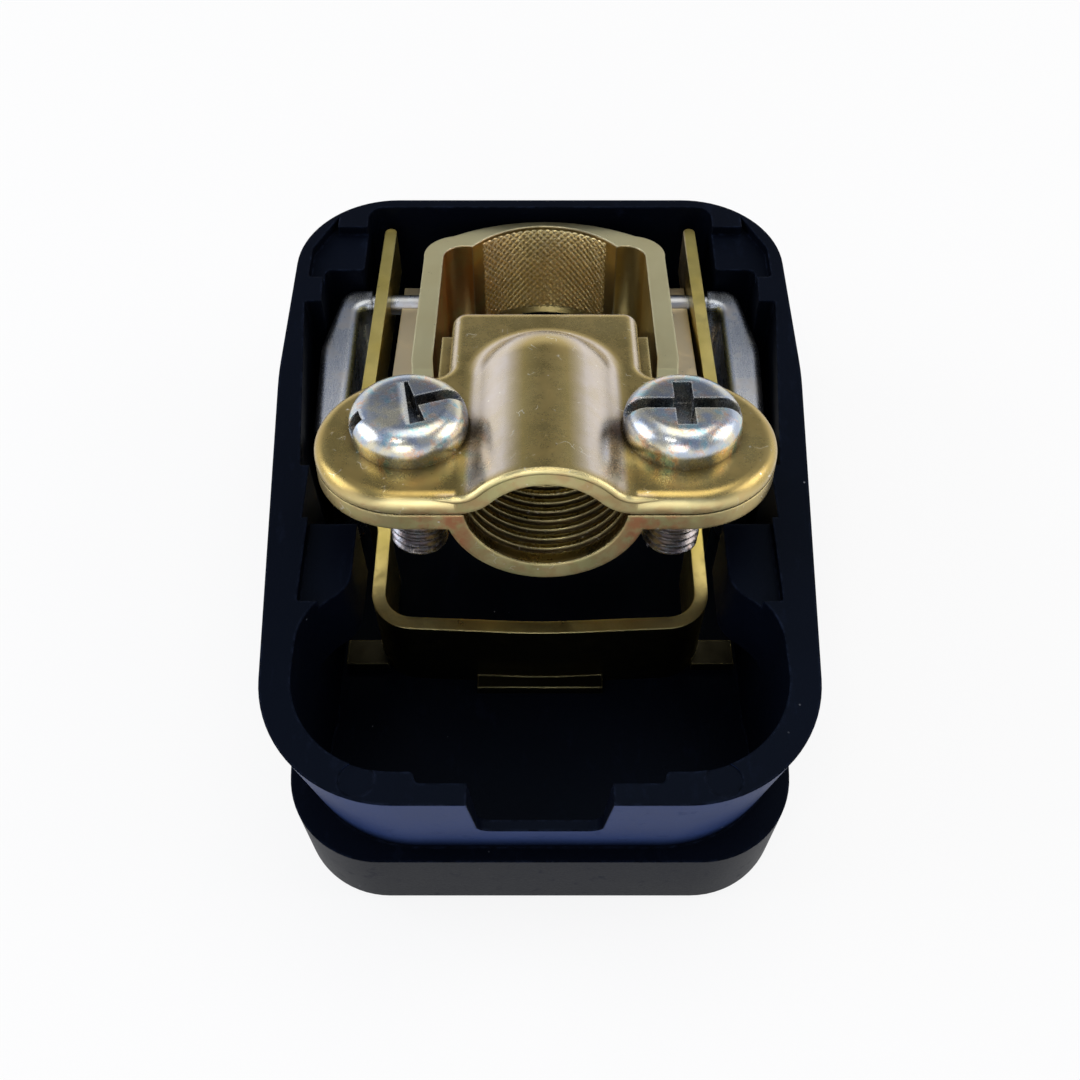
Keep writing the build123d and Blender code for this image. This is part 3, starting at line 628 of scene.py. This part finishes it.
# ---- floor and backdrop ----
def stage_floor():
    """A flat pale floor that runs far behind the object: it takes the shadow near the object, and
    further out it only glows."""
    corners = np.array([(-1, -1, 0), (1, -1, 0), (1, 1, 0), (-1, 1, 0)]) * 1.5
    floor = mesh_object("floor", corners, [[0, 1, 2, 3]], smooth=False)
    shade = Shade.material("floor_white")
    glow = shade.add("ShaderNodeEmission", {}, {"Color": (1, 1, 1, 1), "Strength": 1.0})
    shade.bsdf.inputs["Base Color"].default_value = (0.93, 0.93, 0.93, 1)
    shade.bsdf.inputs["Roughness"].default_value = 0.9
    base = Value(shade, shade.bsdf.outputs[0])
    away = shade.vector_maths("LENGTH", {0: shade.place()}, "Value")
    share = 0.86 + away.above(0.08, 0.40) * 0.14
    values = {0: shade.seen() * share, 1: base, 2: glow}
    shade.surface(shade.add("ShaderNodeMixShader", {}, values))
    floor.data.materials.append(shade.owner)


stage_floor()


# ---- lights and surroundings ----
def area_light(name, place, size, power, colour):
    """A square soft light at place that faces the object."""
    lamp = bpy.data.lights.new(name, "AREA")
    lamp.energy = power
    lamp.size = size
    lamp.color = colour
    light = bpy.data.objects.new(name, lamp)
    light.location = place
    direction = Vector((0, 0, 0.01)) - Vector(place)
    light.rotation_euler = direction.to_track_quat("-Z", "Y").to_euler()
    bpy.context.scene.collection.objects.link(light)


area_light("top_light", (0.04, 0.12, 0.42), 0.30, 0.56, (1.0, 0.93, 0.78))
area_light("left_light", (-0.36, 0.02, 0.20), 0.26, 0.60, (0.90, 0.92, 1.0))
area_light("right_light", (0.36, 0.02, 0.22), 0.24, 0.45, (1.0, 0.95, 0.92))
area_light("front_light", (-0.06, -0.38, 0.24), 0.22, 0.42, (0.96, 0.97, 1.0))
area_light("spark_light", (-0.12, -0.16, 0.40), 0.05, 0.12, (1.0, 0.98, 0.94))


def soft_room():
    """Surroundings: white to the camera and near the horizon, dim and bluish higher up, with a
    darker strip over the middle."""
    world = bpy.data.worlds.new("soft_room")
    bpy.context.scene.world = world
    sky = Shade(world)
    direction = sky.add("ShaderNodeTexCoord", output="Generated")
    rise = sky.along(direction, (0, 0, 1))
    aside = abs(sky.along(direction, (1, 0, 0)))
    stops = [
        (0.0, (0.50, 0.54, 0.62)),
        (0.42, (0.34, 0.37, 0.44)),
        (0.8, (0.26, 0.29, 0.37)),
        (1.0, (0.40, 0.45, 0.56)),
    ]
    ramp = sky.add("ShaderNodeValToRGB", {"stops": stops}, {"Fac": rise}, "Color")
    colour = sky.mix(aside.above(0.04, 0.34) * 0.65 + 0.35, (0.02, 0.022, 0.03), ramp)
    dim = sky.add("ShaderNodeBackground", {}, {"Color": colour, "Strength": 1.0})
    white = sky.add("ShaderNodeBackground", {}, {"Color": (1, 1, 1, 1), "Strength": 1.0})
    camera = sky.add("ShaderNodeLightPath", output="Is Camera Ray")
    whiteness = camera.most(sky.seen() * rise.below(0.16, 0.40))
    sky.surface(sky.add("ShaderNodeMixShader", {}, {0: whiteness, 1: dim, 2: white}))


soft_room()

lens = bpy.data.cameras.new("camera")
lens.sensor_width = SENSOR
lens.lens = SENSOR * FOCAL / FRAME_PIXELS
lens.clip_start = 1.0 * MM
camera = bpy.data.objects.new("camera", lens)
camera.location = CAMERA_PLACE
camera.rotation_euler = (radians(90 - CAMERA_PITCH), 0, 0)
bpy.context.scene.collection.objects.link(camera)
bpy.context.scene.camera = camera

bpy.context.scene.view_settings.view_transform = "Standard"
